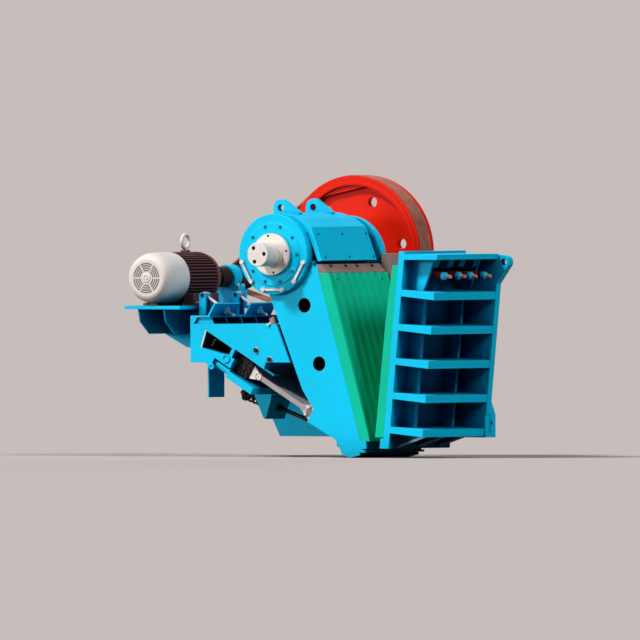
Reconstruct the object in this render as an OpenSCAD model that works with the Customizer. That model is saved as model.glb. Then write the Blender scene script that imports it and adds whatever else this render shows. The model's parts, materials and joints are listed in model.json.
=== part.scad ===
// Single toggle jaw crusher, shown cut away: the near side plate, the near flywheel and the near
// main bearing are left off, so the moving jaw, the chamber and the toggle gear are open to view.
// X runs from the motor to the front wall, Y from the open side to the flywheel, Z up.
// The origin is the middle of the foot's underside. Outlines are drawn round the main shaft's axis.

/* [Machine] */
// Clear width between the side plates
clear_w = 1400; // [1300:10:1600]
// Thickness of the side plate
side_t = 100; // [70:5:120]
// Height of the main shaft above the foot
shaft_h = 2235; // [2225:5:2300]
// Lean of the front wall from upright, in degrees
front_lean = 5.5; // [4:0.5:7]

/* [Front frame] */
// Front wall's outer face ahead of the shaft, at shaft height
wall_x = 1867; // [1860:1:1900]
// Depth of the ribs in front of the wall
rib_depth = 474; // [420:2:520]
// Thickness of a rib
rib_t = 78; // [60:2:95]
// Number of ribs
rib_count = 6; // [4:1:6]
// Distance from one rib to the next
rib_pitch = 418; // [400:1:425]
// Thickness of the wall at its top
wall_top_t = 78; // [70:1:90]
// Thickness of the wall at its foot
wall_foot_t = 84; // [80:1:95]

/* [Jaws] */
// Gap left on each side of the pitman
pitman_gap = 25; // [24:1:35]
// How far each jaw die stays inside the pitman's side face
die_inset = 3; // [2:1:20]
// Length of the moving jaw die
moving_len = 2132; // [2080:2:2136]
// Lean of the moving jaw die, in degrees
moving_lean = 16.05; // [15.4:0.05:16.2]
// Thickness of the moving jaw die at its top
moving_top_t = 152; // [140:1:156]
// Thickness of the moving jaw die at its foot
moving_foot_t = 132; // [120:1:136]
// Length of the fixed jaw die
fixed_len = 2108; // [2060:2:2112]
// Thickness of the fixed jaw die at its top
fixed_top_t = 80; // [70:1:90]
// Thickness of the fixed jaw die at its foot
fixed_foot_t = 123; // [115:1:126]
// Height of the ridges on the jaw dies
ridge_h = 38; // [25:1:45]
// Number of ridges on a jaw die
ridge_count = 8; // [6:1:10]
// Thickness of the cheek plate
cheek_t = 18; // [12:1:19]

/* [Shaft and flywheel] */
// Radius of the shaft inside the pitman
shaft_r = 200; // [180:1:215]
// Radius of the shaft in the main bearing
journal_r = 170; // [160:1:175]
// Radius of the shaft's free end
nose_r = 147; // [135:1:150]
// Radius of the pitman's barrel
barrel_r = 500; // [495:1:520]
// Radius of the flywheel
wheel_r = 945; // [925:1:960]
// Width of the flywheel's rim
wheel_w = 346; // [336:2:400]
// Number of drive belts
belt_count = 7; // [5:1:8]
// Distance from one belt to the next
belt_pitch = 36; // [32:1:38]

/* [Toggle gear] */
// Length of the toggle plate between its two seats
toggle_len = 740; // [720:1:750]
// Slope of the toggle plate, in degrees
toggle_slope = 30; // [28:0.5:31]
// Thickness of the toggle plate
toggle_t = 60; // [50:1:70]
// Slope of the tension rod, in degrees
rod_slope = 19.5; // [18.5:0.5:20]
// Radius of the tension rod
rod_r = 26; // [18:1:28]
// Mean radius of the tension spring
spring_r = 66; // [58:1:70]
// Turns of the tension spring
spring_turns = 8; // [6:1:9]

/* [Drive] */
// Radius of the motor's body
motor_r = 313; // [300:1:315]
// Length of the motor's finned body
motor_len = 740; // [700:5:760]
// Length of the motor's fan cover
fan_len = 500; // [440:5:520]
// Radius of the motor pulley
pulley_r = 150; // [140:1:165]
// Thickness of the motor's base plate
base_t = 42; // [30:1:50]

/* [Hidden] */
$fn = 96;

// Paint and metal
paint = [0, 0.72, 0.92];
green = [0, 0.62, 0.42];
red = [0.88, 0.12, 0.04];
dark = [0.12, 0.08, 0.08];
cream = [0.86, 0.80, 0.76];
brown = [0.45, 0.36, 0.34];

// Clearances of a fitted bore, of a bearing face, of a seat and of a turning piece
fit_gap = 0.05;
touch = 0.1;
seat_gap = 0.3;
run_gap = 6;

// Stations across the machine
side_y = clear_w / 2;
pitman_y = side_y - pitman_gap;
die_y = pitman_y - die_inset;
flange_w = 233;
foot_y = side_y + flange_w / 2;

// Foot under the far side plate
foot_t = 60;
foot_gusset_h = 450;
anchor_r = 28;
front_hole_z = 174;
foot_rear = -810;
foot_front = 2152;
foot_mid = (foot_rear + foot_front) / 2;
ground = -shaft_h;

// Front wall and ribs
wall_top = 45;
wall_foot = -2363;
heel_top = -2240;
heel_t = 128;
rib_top = -4;
tip_x = wall_x + rib_depth;
edge_lip = 10;
top_rib_t = 65;
top_rib_z = 8;
gusset_t = 40;
top_gusset_y = 520;
gusset_y = 420;
foot_gusset_t = 20;
function leaning(x, z) = x + z * tan(front_lean);
function wall_back(z) = leaning(wall_x, z) - wall_top_t
    - (wall_foot_t - wall_top_t) * (wall_top - z) / (wall_top - wall_foot);
function rib_z(i) = rib_top - i * rib_pitch;
back_lean = atan((wall_back(wall_top) - wall_back(wall_foot)) / (wall_top - wall_foot));

// Jaw faces, each from the crest of its top ridge
moving_top = [762, -226];
moving_foot = moving_top + moving_len * [sin(moving_lean), -cos(moving_lean)];
die_back_top = moving_top - [moving_top_t, 0];
die_back_foot = moving_foot - [moving_foot_t, 0];
fixed_top_z = -128;
fixed_mid_z = -711;
fixed_mid_t = 111;
fixed_foot_z = fixed_top_z - fixed_len * cos(back_lean);
fixed_mid = [wall_back(fixed_mid_z) - fixed_mid_t, fixed_mid_z];
fixed_foot = [wall_back(fixed_foot_z) - fixed_foot_t, fixed_foot_z];
fixed_y = side_y - 1;
hole_in_die_r = 17;
wedge_top_z = -120;
wedge_notch = 60;

// Toggle plate, rod and their seats
toggle_dir = [cos(toggle_slope), -sin(toggle_slope)];
toggle_up = [sin(toggle_slope), cos(toggle_slope)];
seat_rear = [-309, -1500];
seat_front = seat_rear + toggle_len * toggle_dir;
toggle_end_r = 46;
toggle_y = pitman_y - 105;
seat_deep = 120;
pocket_deep = 188;
seat_high = 180;
function on_toggle(u, w) = seat_rear + u * toggle_dir + w * toggle_up;
function on_pitman(u, w) = seat_front + u * toggle_dir + w * toggle_up;
beam_high = 236;
beam_deep = 150;
wedge_deep = 78;
roof_w = 160;
floor_w = -beam_high / 2 - 2;
keel_w = -205;
keel_z = on_toggle(-985, keel_w)[1];
slot_back = -seat_deep - beam_deep - wedge_deep;
guide_y = [470, 600];
rod_dir = [cos(rod_slope), -sin(rod_slope)];
rod_up = [sin(rod_slope), cos(rod_slope)];
rod_eye = [500, -2190];
function on_rod(u, w) = rod_eye + u * rod_dir + w * rod_up;
seat_plate_u = -974;
seat_plate_t = 30;
spring_wire = 15;
spring_start = -1400;
spring_len = seat_plate_u - spring_wire - seat_gap - spring_start;

// Lifting lugs on the pitman
lug_at = [-100, 563];
lug_y = 370;
lug_t = 80;

// Hood over the top of the moving jaw die
hood_y = [-650, 600];

// Motor and its drive line
motor_at = [-1730, -300];
motor_fan_y = -895;
motor_body_y = motor_fan_y + fan_len;
motor_end_y = motor_body_y + motor_len;
motor_fins = 48;
eye_y = motor_body_y + 390;
eye_boss = 22;
base_top = -638;
base_x = [-2100, -1300];
base_y = [-815, 1120];
spine_y = 56;
wheel_y = 1090;
rim_r = 828;
rim_step_r = 905;
rim_step = 4;
web_at = [86, 160];
belt_y = wheel_y + 152;
belt_w = 31;
belt_t = 20;
belt_sink = 16;
wheel_seat_r = 150;

// Rear frame
deck_z = -756;
deck_t = 20;
deck_x = [-1300, -935];
corner_x = -1217;
corner_y = 450;
beam_top = -855;
rod_y = 375;
clamp_pin = [-1207, -508];
clamp_slope = 31;
clamp_reach = 486;
tilted_at = 330;
tilted_t = 24;
cylinder_r = 58;
recess = [[-600, slot_back], [-205, -78], 140];
post_foot = -1757;

// Draw bolts of the fixed jaw die
bolt_z = -213;
bolt_r = 28;
bolt_cap_r = 48;
bolt_spring_r = 46;
bolt_coil = 36;
bolt_coils = 11;
bolt_ring = bolt_coils * bolt_coil;
tab_w = 120;
tab_t = 20;

// Shaft end, with the collar that holds the near bearing
collar_r = 255;
collar_back = -pitman_y - 76 - run_gap;
collar_front = -pitman_y - 76 - 45;
collar_hub_r = 165;
collar_hub = 26;
nose_seat_r = nose_r + 3;
nose_end = -1094;

// Places an outline round the shaft's axis in the machine
module from_shaft() translate([-foot_mid, -foot_y, shaft_h]) children();

// Extrudes a side outline (x, z) from one station across the machine to another
module across(y0, y1) translate([0, y1, 0]) rotate([90, 0, 0]) linear_extrude(y1 - y0) children();

// A round bar across the machine, from y0 to y1, at side position p
module bar(r, y0, y1, p = [0, 0]) translate([p[0], y0, p[1]]) rotate([-90, 0, 0])
    cylinder(r = r, h = y1 - y0);

// Copies a piece to the other side of the middle
module both_sides() { children(); mirror([0, 1, 0]) children(); }

// Turns local X to a slope that falls away forward
module sloping(p, slope) translate([p[0], 0, p[1]]) rotate([0, slope, 0]) children();

// Revolves a half outline (r, y) round the axis across the machine
module turned(p = [0, 0]) translate([p[0], 0, p[1]]) rotate([-90, 0, 0]) rotate_extrude() children();

// One turn of places round an axis across the machine, angles counted from straight up
module ring_of(angles, r) for (a = angles) translate([r * sin(a), 0, r * cos(a)]) children();

module far_side_plate() {
    saddle = [130, -70];
    outside = side_y + side_t;
    color(paint) from_shaft() difference() {
        union() {
            across(side_y, outside) polygon([[0, 0], [leaning(tip_x, 0) - 100, 0],
                [leaning(tip_x, 0) + 70, -12], [leaning(tip_x, 0) + 148, -125],
                [leaning(tip_x, -357) + edge_lip, -357],
                [leaning(tip_x, -1955) + edge_lip, -1955], [foot_front, -1955],
                [foot_front, ground], [foot_rear, ground], [foot_rear - 101, ground + 195],
                [-1300, -1400], [deck_x[0], deck_z], [-850, deck_z], [-420, -380]]);
            bar(84, side_y, outside, [leaning(tip_x, 0) + 67, -95]);
            bar(530, side_y, outside, saddle);
            bar(440, side_y, outside);
        }
        bar(42, side_y - 1, outside + 1, [leaning(tip_x, 0) + 74, -95]);
        bar(330, side_y - 1, outside + 1);
    }
}

module foot_flange() {
    color(paint) from_shaft() difference() {
        union() {
            translate([foot_rear, side_y + side_t, ground])
                cube([foot_front - foot_rear, flange_w - side_t, foot_t]);
            for (x = foot_stations())
                translate([x, side_y + side_t, ground + foot_t]) rotate([90, 0, 90]) linear_extrude(45)
                    polygon([[0, 0], [flange_w - side_t, 0], [flange_w - side_t, 220], [0, foot_gusset_h]]);
        }
        for (x = anchor_stations())
            translate([x, side_y + side_t + 68, ground - 1]) cylinder(r = anchor_r, h = foot_t + 2);
        translate([foot_front - 46, side_y + side_t + anchor_r + 6, ground + front_hole_z])
            rotate([0, 90, 0]) cylinder(r = anchor_r, h = 47);
    }
}
function foot_stations() = [for (i = [0:5]) foot_rear + i * (foot_front - foot_rear - 45) / 5];
function anchor_stations() =
    [for (i = [0:4]) foot_rear + 22.5 + (i + 0.5) * (foot_front - foot_rear - 45) / 5];

module front_frame() {
    color(paint) from_shaft() difference() {
        union() {
            across(-side_y, side_y) polygon([[leaning(wall_x, wall_foot) - heel_t, wall_foot],
                [leaning(wall_x, wall_foot), wall_foot], [leaning(wall_x, wall_top), wall_top],
                [wall_back(wall_top), wall_top], [wall_back(heel_top), heel_top],
                [leaning(wall_x, heel_top) - heel_t, heel_top]]);
            across(-side_y, side_y) top_rib();
            for (i = [1:rib_count - 1]) across(-side_y, side_y) rib(rib_z(i));
            both_sides() across(top_gusset_y - gusset_t / 2, top_gusset_y + gusset_t / 2)
                pocket_gusset(0, 340, 205);
            both_sides() for (i = [1:rib_count - 2])
                across(gusset_y - gusset_t / 2, gusset_y + gusset_t / 2) pocket_gusset(i, 197, 197);
            for (y = [-460, 0, 460]) across(y - foot_gusset_t / 2, y + foot_gusset_t / 2) foot_gusset();
            for (y = draw_bolt_y()) across(y - tab_w / 2, y + tab_w / 2) hanging_tab();
        }
        for (y = draw_bolt_y()) draw_bolt_line(y) translate([0, 0, -300]) cylinder(r = bolt_r + 6, h = 500);
    }
}
module rib(z) polygon([[leaning(wall_x, z) - 20, z], [leaning(tip_x, z), z - 33],
    [leaning(tip_x, z - rib_t), z - rib_t - 50], [leaning(wall_x, z - rib_t) - 20, z - rib_t]]);
module top_rib() polygon([[leaning(wall_x, 0) - 20, top_rib_z], [leaning(tip_x, 0), top_rib_z],
    [leaning(tip_x, top_rib_z - top_rib_t), top_rib_z - top_rib_t],
    [leaning(wall_x, 0) - 20, top_rib_z - top_rib_t]]);
module pocket_gusset(i, top_reach, low_reach) {
    top = rib_z(i) - rib_t / 2;
    low = rib_z(i + 1) - rib_t / 2;
    polygon([[leaning(wall_x, top) - 20, top], [leaning(wall_x, top) + top_reach, top],
        [leaning(wall_x, low) + low_reach, low], [leaning(wall_x, low) - 20, low]]);
}
module foot_gusset() {
    z = rib_z(rib_count - 1) - rib_t;
    polygon([[leaning(wall_x, z) - 20, z + 10], [leaning(wall_x, z) + 400, z - 32],
        [leaning(wall_x, wall_foot) - 20, wall_foot + 18]]);
}
module hanging_tab() {
    z = top_rib_z - top_rib_t + 5;
    x = leaning(wall_x, z) + 330;
    polygon([[x - 8, z], [x + tab_t - 8, z], [x + tab_t - 52, z - 98], [x - 52, z - 98]]);
}
module draw_bolt_line(y) sloping([leaning(wall_x, bolt_z), bolt_z], front_lean)
    translate([0, y, 0]) rotate([0, 90, 0]) children();
function draw_bolt_y() = [-450, -130, 130, 450];

// Corrugated plate, standing, with ridges towards +X, its crests at x = 0 and a crest along each edge
module ridged_plate(w, len, t) {
    pitch = w / ridge_count;
    translate([0, 0, -len]) linear_extrude(len) polygon(concat([[-t, -w / 2], [0, -w / 2]],
        [for (i = [0:ridge_count - 1], p = [[0, 0.20], [-1, 0.42], [-1, 0.58], [0, 0.80]])
            [p[0] * ridge_h, -w / 2 + (i + p[1]) * pitch]],
        [[0, w / 2], [-t, w / 2]]));
}

module fixed_jaw_die() {
    crest_lean = atan((fixed_mid[0] - fixed_foot[0]) / (fixed_mid[1] - fixed_foot[1]));
    above = fixed_top_z - fixed_mid_z + 60;
    color(green) from_shaft() intersection() {
        translate([fixed_mid[0], 0, fixed_mid[1]]) rotate([0, crest_lean, 0]) translate([0, 0, above])
            mirror([1, 0, 0]) ridged_plate(2 * fixed_y, fixed_len + 120, fixed_foot_t + 80);
        across(-side_y, side_y) polygon([[wall_back(fixed_top_z) - touch, fixed_top_z],
            [wall_back(fixed_top_z) - fixed_top_t, fixed_top_z], fixed_mid, fixed_foot,
            [wall_back(fixed_foot_z) - touch, fixed_foot_z]]);
    }
}

module die_draw_bolts() {
    color(cream) from_shaft() for (y = draw_bolt_y()) draw_bolt_line(y) {
        translate([0, 0, -wall_top_t]) cylinder(r = bolt_r, h = wall_top_t + bolt_ring + 150);
        translate([0, 0, bolt_ring]) cylinder(r = bolt_spring_r, h = 24);
        translate([0, 0, bolt_ring + 24]) cylinder(r = bolt_cap_r, h = 56);
    }
}

module draw_bolt_springs() {
    inner = bolt_r + 2;
    color([0.35, 0.05, 0.05]) from_shaft() for (y = draw_bolt_y()) draw_bolt_line(y) rotate_extrude()
        polygon(concat([[inner, 0]],
            [for (i = [0:bolt_coils - 1], p = [[-8, 4], [0, bolt_coil / 2], [-8, bolt_coil - 4]])
            [bolt_spring_r + p[0], p[1] + bolt_coil * i]], [[inner, bolt_ring]]));
}

module far_cheek_plate() {
    low = -2236;
    color(brown) from_shaft() across(side_y - cheek_t, side_y) polygon([
        [die_back_top[0] + 60, 0], [wall_back(0) - fixed_top_t - 1, 0],
        [wall_back(fixed_top_z) - fixed_top_t - 1, fixed_top_z], fixed_mid - [1, 0],
        [wall_back(low) - fixed_foot_t - 1, low],
        [die_back_foot[0] + 50, low], [die_back_top[0] + 30, die_back_top[1]]]);
}

module far_main_bearing() {
    color(paint) from_shaft() turned() polygon([[journal_r + fit_gap, side_y + 5],
        [330 - fit_gap, side_y + 5], [330 - fit_gap, side_y + side_t], [430, side_y + side_t],
        [430, side_y + side_t + 45],
        [345, side_y + side_t + 60], [320, wheel_y - 60], [300, wheel_y - 45],
        [journal_r + fit_gap, wheel_y - 45]]);
}

module rear_frame() {
    back_x = deck_x[0];
    under_deck_x = -1120;
    color(paint) from_shaft() difference() {
        union() {
            across(-side_y, side_y) difference() {
                polygon([[back_x, deck_z], [deck_x[1], deck_z], [deck_x[1], deck_z - deck_t],
                    [under_deck_x, deck_z - deck_t],
                    [under_deck_x - 50, beam_top], [20, beam_top], [215, -1320], [-128, -1320],
                    on_toggle(80, roof_w), on_toggle(slot_back - 45, roof_w), on_toggle(slot_back - 45, 47),
                    on_toggle(slot_back, 47), on_toggle(slot_back, floor_w), on_toggle(60, floor_w),
                    on_toggle(70, keel_w), on_toggle(-985, keel_w), [back_x, keel_z]]);
                polygon([on_toggle(-885, 148), on_toggle(-441, 148), on_toggle(-437, 47),
                    on_toggle(-840, -69)]);
            }
            both_sides() across(130, side_y) tilted_outline();
            both_sides() across(side_y - tab_t, side_y) polygon([[corner_x, keel_z - 5],
                [corner_x, keel_z - 133], [corner_x + 12, keel_z - 143], [corner_x + 202, keel_z - 143],
                [corner_x + 202, keel_z - 100]]);
            for (y = [-660, -340, 0, 340, 660]) across(y - 12, y + 12)
                polygon([[under_deck_x - 5, deck_z - deck_t + 2], [-940, deck_z - deck_t + 2],
                    [-900, beam_top - 2], [under_deck_x - 55, beam_top - 2]]);
        }
        both_sides() translate([back_x - 1, corner_y, -2100]) cube([corner_x - back_x + 1, side_y, 2100]);
        both_sides() sloping(seat_rear, toggle_slope)
            translate([recess[0][0], side_y - recess[2], recess[1][0] - 1])
            cube([recess[0][1] - recess[0][0], recess[2] + 1, recess[1][1] - recess[1][0]]);
        both_sides() translate([0, rod_y, 0]) sloping(clamp_pin, clamp_slope)
            rotate([0, 90, 0]) cylinder(r = 24, h = clamp_reach);
    }
}
module tilted_outline() {
    foot = clamp_pin + tilted_at * [cos(clamp_slope), -sin(clamp_slope)];
    up = [sin(clamp_slope), cos(clamp_slope)];
    out = tilted_t * [cos(clamp_slope), -sin(clamp_slope)];
    low = (deck_z - 10 - foot[1]) / up[1];
    high = (-600 - foot[1]) / up[1];
    polygon([foot + low * up, foot + high * up, foot + high * up + out, foot + low * up + out]);
}

module clamp_lugs() {
    color(paint) from_shaft() both_sides() for (y = [rod_y - 55, rod_y + 55]) across(y - 14, y + 14)
        difference() {
        union() {
            translate(clamp_pin - [0, 12]) circle(r = 48);
            translate([clamp_pin[0] - 48, deck_z]) square([96, clamp_pin[1] - 12 - deck_z]);
        }
        translate(clamp_pin) circle(r = 20);
    }
}

module clamp_rods() {
    color(cream) from_shaft() both_sides() translate([0, rod_y, 0]) {
        bar(20 - fit_gap, -75, 75, clamp_pin);
        bar(40, -36, 36, clamp_pin);
        sloping(clamp_pin, clamp_slope) rotate([0, 90, 0]) {
            cylinder(r = 17, h = clamp_reach);
            translate([0, 0, tilted_at + tilted_t]) cylinder(r = 50, h = 14);
            translate([0, 0, tilted_at + tilted_t + 14]) cylinder(r = 30, h = 30, $fn = 6);
        }
    }
}

module motor_bracket() {
    color(paint) from_shaft() {
        across(-spine_y, spine_y) polygon([[base_x[0] + 60, base_top - base_t],
            [deck_x[0], base_top - base_t], [deck_x[0], -1178], [-1674, -1150], [-1978, -996],
            [base_x[0] + 60, -830]]);
        both_sides() for (x = [-1978, -1613]) translate([x, 0, 0]) rotate([90, 0, 90]) linear_extrude(20)
            polygon([[spine_y, base_top - base_t], [side_y, base_top - base_t], [side_y - 40, -833],
                [side_y - 250, -985], [spine_y, -985]]);
    }
}

module motor_base() {
    color(paint) from_shaft() translate([base_x[0], base_y[0], base_top - base_t])
        cube([base_x[1] - base_x[0], base_y[1] - base_y[0], base_t]);
}

module motor_body() {
    color(dark) from_shaft() difference() {
        motor_casting();
        bar(42 + fit_gap, motor_end_y - 60, motor_end_y + 1, motor_at);
    }
}
module motor_casting() {
    bar(motor_r - 38, motor_body_y, motor_end_y - 40, motor_at);
    bar(motor_r - 20, motor_end_y - 60, motor_end_y, motor_at);
    for (i = [0:motor_fins - 1]) translate([motor_at[0], motor_body_y + 10, motor_at[1]])
        rotate([0, i * 360 / motor_fins, 0]) translate([-4, 0, motor_r - 50]) cube([8, motor_len - 80, 50]);
    for (s = [-1, 1]) translate([motor_at[0] + s * 254 - 70, motor_body_y + 60, base_top])
        cube([140, motor_len - 160, 150]);
    translate([motor_at[0], eye_y, motor_at[1] + motor_r - 50]) cylinder(r = 60, h = eye_boss + 50);
}

module motor_fan_cover() {
    color(cream) from_shaft() difference() {
        turned(motor_at) polygon(concat([[0, motor_fan_y]],
            [for (p = [[-89, 0], [-63, 10], [-38, 35], [-21, 70], [-10, 115], [-3, 170], [0, 240]])
                [motor_r + p[0], motor_fan_y + p[1]]],
            [[motor_r, motor_body_y], [0, motor_body_y]]));
        difference() {
            turned(motor_at) for (r = [84:28:186]) translate([r, motor_fan_y - 1]) square([18, 31]);
            for (a = [0, 60, 120]) translate([motor_at[0], motor_fan_y + 14, motor_at[1]]) rotate([0, a, 0])
                cube([400, 40, 16], center = true);
        }
    }
}

module motor_lifting_eye() {
    base = motor_at[1] + motor_r + eye_boss;
    color(cream) from_shaft() {
        translate([motor_at[0], eye_y, base + 104 + touch]) rotate([0, 90, 0]) rotate_extrude()
            translate([82, 0]) circle(r = 22, $fn = 32);
        translate([motor_at[0], eye_y, base + touch]) cylinder(r = 30, h = 12);
    }
}

module bearing_pedestal() {
    color(paint) from_shaft() {
        difference() {
            union() {
                bar(150, 900, 1062, motor_at);
                across(915, 1047) polygon([[motor_at[0] - 150, -450], [motor_at[0] + 150, -450],
                    [motor_at[0] + 120, motor_at[1]], [motor_at[0] - 120, motor_at[1]]]);
                translate([motor_at[0] - 190, 900, -455]) cube([380, 162, 50]);
            }
            bar(52 + fit_gap, 890, 1070, motor_at);
        }
        translate([motor_at[0] - 210, 890, base_top]) cube([420, 182, -455 - base_top]);
    }
}

module drive_coupling() {
    color(dark) from_shaft() difference() {
        union() {
            bar(95, 480, 876, motor_at);
            bar(128, 690, 740, motor_at);
            bar(128, 748, 876, motor_at);
        }
        bar(42 + fit_gap, 470, 700, motor_at);
        bar(52 + fit_gap, 660, 890, motor_at);
    }
}

module drive_shaft() {
    color(cream) from_shaft() {
        bar(42, motor_end_y - 55, 640, motor_at);
        bar(52, 665, wheel_y + wheel_w - 20, motor_at);
    }
}

// Half outline of a grooved rim, from hub radius r0 out to the rim radius r
function grooves(r) = [for (i = [0:belt_count - 1],
    p = [[0, -1], [belt_sink, -0.8], [belt_sink, 0.8], [0, 1]])
    [r - p[0], belt_y + (i - (belt_count - 1) / 2) * belt_pitch + p[1] * (belt_w / 2 + 1)]];

module drive_pulley() {
    y0 = belt_y - belt_count * belt_pitch / 2 - 6;
    y1 = belt_y + belt_count * belt_pitch / 2 + 6;
    bore = 52 + fit_gap;
    color(dark) from_shaft() turned(motor_at)
        polygon(concat([[bore, y0], [pulley_r, y0]], grooves(pulley_r), [[pulley_r, y1], [bore, y1]]));
}

// Outline of a loop round the flywheel and the pulley, d outside their groove bottoms
module loop_outline(d) {
    big = wheel_r - belt_sink + d;
    small = pulley_r - belt_sink + d;
    dist = norm(motor_at);
    away = atan2(motor_at[1], motor_at[0]);
    half = acos((big - small) / dist);
    polygon(concat(arc([0, 0], big, away + half, away - half + 360, 72),
        arc(motor_at, small, away - half, away + half, 18)));
}

// Points on an arc round c, from angle a0 to a1
function arc(c, r, a0, a1, steps) =
    [for (i = [0:steps]) let(a = a0 + (a1 - a0) * i / steps) c + r * [cos(a), sin(a)]];

module drive_belts() {
    color(brown) from_shaft() for (i = [0:belt_count - 1]) {
        y = belt_y + (i - (belt_count - 1) / 2) * belt_pitch;
        across(y - 0.8 * belt_w / 2, y + 0.8 * belt_w / 2) difference() {
            loop_outline(belt_t + 1);
            loop_outline(1);
        }
    }
}

module toggle_beam() {
    color(dark) from_shaft() sloping(seat_rear, toggle_slope)
        translate([-seat_deep - beam_deep, -toggle_y - 20, floor_w + touch])
        cube([beam_deep - touch, 2 * toggle_y + 40, beam_high]);
}

module adjusting_wedges() {
    color(dark) from_shaft() sloping(seat_rear, toggle_slope)
        translate([slot_back + touch, -toggle_y - 20, floor_w + touch])
        cube([wedge_deep - 2 * touch, 2 * toggle_y + 40, beam_high - 20]);
}

module adjusting_cylinder() {
    long = recess[0][1] - recess[0][0] - touch;
    color(paint) from_shaft() both_sides() translate([0, side_y - recess[2] + cylinder_r + 2, 0])
        sloping(seat_rear, toggle_slope)
        translate([recess[0][0], 0, recess[1][1] - cylinder_r - 3]) rotate([0, 90, 0]) {
            cylinder(r = cylinder_r - 8, h = long);
            cylinder(r = cylinder_r, h = 26);
            translate([0, 0, long - 26]) cylinder(r = cylinder_r, h = 26);
        }
}

module toggle_beam_guides() {
    low = beam_high / 2 + 4;
    color(paint) from_shaft() sloping(seat_rear, toggle_slope) both_sides() across(guide_y[0], guide_y[1])
        polygon([[-90, low], [190, low], [190, low + 28], [70, low + 28],
            [70, roof_w - touch], [-90, roof_w - touch]]);
}

module frame_toggle_seat() {
    color(cream) from_shaft() sloping(seat_rear, toggle_slope) difference() {
        across(-toggle_y - 10, toggle_y + 10) polygon([[-seat_deep + touch, -seat_high / 2],
            [-20, -48], [-20, 48], [-seat_deep + touch, seat_high / 2]]);
        bar(toggle_end_r + seat_gap, -side_y, side_y);
    }
}

module toggle_plate() {
    color([0.55, 0.52, 0.52]) from_shaft() sloping(seat_rear, toggle_slope) {
        bar(toggle_end_r, -toggle_y, toggle_y);
        bar(toggle_end_r, -toggle_y, toggle_y, [toggle_len, 0]);
        translate([0, -toggle_y, -toggle_t / 2]) cube([toggle_len, 2 * toggle_y, toggle_t]);
    }
}

module pitman_toggle_seat() {
    color(cream) from_shaft() sloping(seat_front, toggle_slope) difference() {
        across(-toggle_y - 10, toggle_y + 10) polygon([[20, -48], [seat_deep, -seat_high / 2],
            [pocket_deep - touch, -seat_high / 2], [pocket_deep - touch, seat_high / 2],
            [seat_deep, seat_high / 2], [20, 48]]);
        bar(toggle_end_r + seat_gap, -side_y, side_y);
    }
}

module spring_bracket() {
    front = seat_plate_u + seat_plate_t;
    color(paint) from_shaft() {
        both_sides() across(195, 220) polygon([on_toggle(-171, keel_w - touch),
            on_toggle(70, keel_w - touch), on_rod(front, 60), on_rod(front, -150),
            on_rod(seat_plate_u, -150), on_toggle(-171, keel_w - 110)]);
        difference() {
            across(-195, 195) polygon([on_rod(seat_plate_u, -150), on_rod(front, -150), on_rod(front, 140),
                on_rod(seat_plate_u, 140)]);
            rod_line() cylinder(r = rod_r + 12, h = 2200, center = true);
        }
    }
}

module rod_line() translate([rod_eye[0], 0, rod_eye[1]]) rotate([0, 90 + rod_slope, 0]) children();

module tension_spring() {
    n = 16;
    sides = 8;
    steps = n * spring_turns;
    function ring(k) = [for (j = [0:sides - 1])
        let(a = 360 * k / n, b = 360 * j / sides, r = spring_r + spring_wire * cos(b))
        [r * cos(a), r * sin(a), spring_start + spring_len * k / steps + spring_wire * sin(b)]];
    pts = [for (k = [0:steps], p = ring(k)) p];
    skin = [for (k = [0:steps - 1], j = [0:sides - 1]) let(b = (j + 1) % sides)
        [k * sides + j, k * sides + b, (k + 1) * sides + b, (k + 1) * sides + j]];
    color(dark) from_shaft() rod_line() polyhedron(pts, concat([[for (j = [0:sides - 1]) j]],
        skin, [[for (j = [sides - 1:-1:0]) steps * sides + j]]));
}

module tension_rod() {
    cap = spring_start - spring_wire - seat_gap;
    color(dark) from_shaft() {
        rod_line() translate([0, 0, cap - 90]) cylinder(r = rod_r, h = -cap + 70);
        rod_line() translate([0, 0, cap - 28]) cylinder(r = spring_r + spring_wire + 6, h = 28);
        rod_line() translate([0, 0, cap - 70]) cylinder(r = 44, h = 44, $fn = 6);
        rod_line() translate([0, 0, seat_plate_u + seat_plate_t + 20]) cylinder(r = 45, h = 26);
        bar(58, -28, 28, rod_eye);
        bar(30 - fit_gap, -78, 78, rod_eye);
    }
}

module rear_support_post() {
    color(paint) from_shaft() translate([deck_x[0], -175, post_foot])
        cube([20, 350, keel_z - touch - post_foot]);
}

module pitman() {
    color(paint) from_shaft() difference() {
        union() {
            across(-pitman_y, pitman_y) {
                circle(r = barrel_r);
                polygon(concat([[0, 0], barrel_r * [-0.192, -0.982], [380, -1648],
                    on_pitman(pocket_deep, seat_high / 2), on_pitman(pocket_deep, -seat_high / 2)],
                    [for (p = toe_outline()) moving_foot + p],
                    [die_back_foot, die_back_top, [die_back_top[0] - 10, wedge_top_z],
                    [0.85 * barrel_r, wedge_top_z]]));
            }
            both_sides() across(lug_y - lug_t / 2, lug_y + lug_t / 2) pitman_lug();
            both_sides() across(34, 66) polygon([[466, -2046], rod_eye - [62, 20],
                rod_eye - [0, 62], rod_eye + [62, -20], rod_eye + [120, 110]]);
        }
        bar(shaft_r + fit_gap, -side_y, side_y);
        for (p = [[411, -622], [623, -1333]]) bar(90, -side_y, side_y, p);
        both_sides() bar(30, 33, 67, rod_eye);
        both_sides() bar(44, lug_y - lug_t / 2 - 1, lug_y + lug_t / 2 + 1, lug_at);
    }
}

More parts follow.
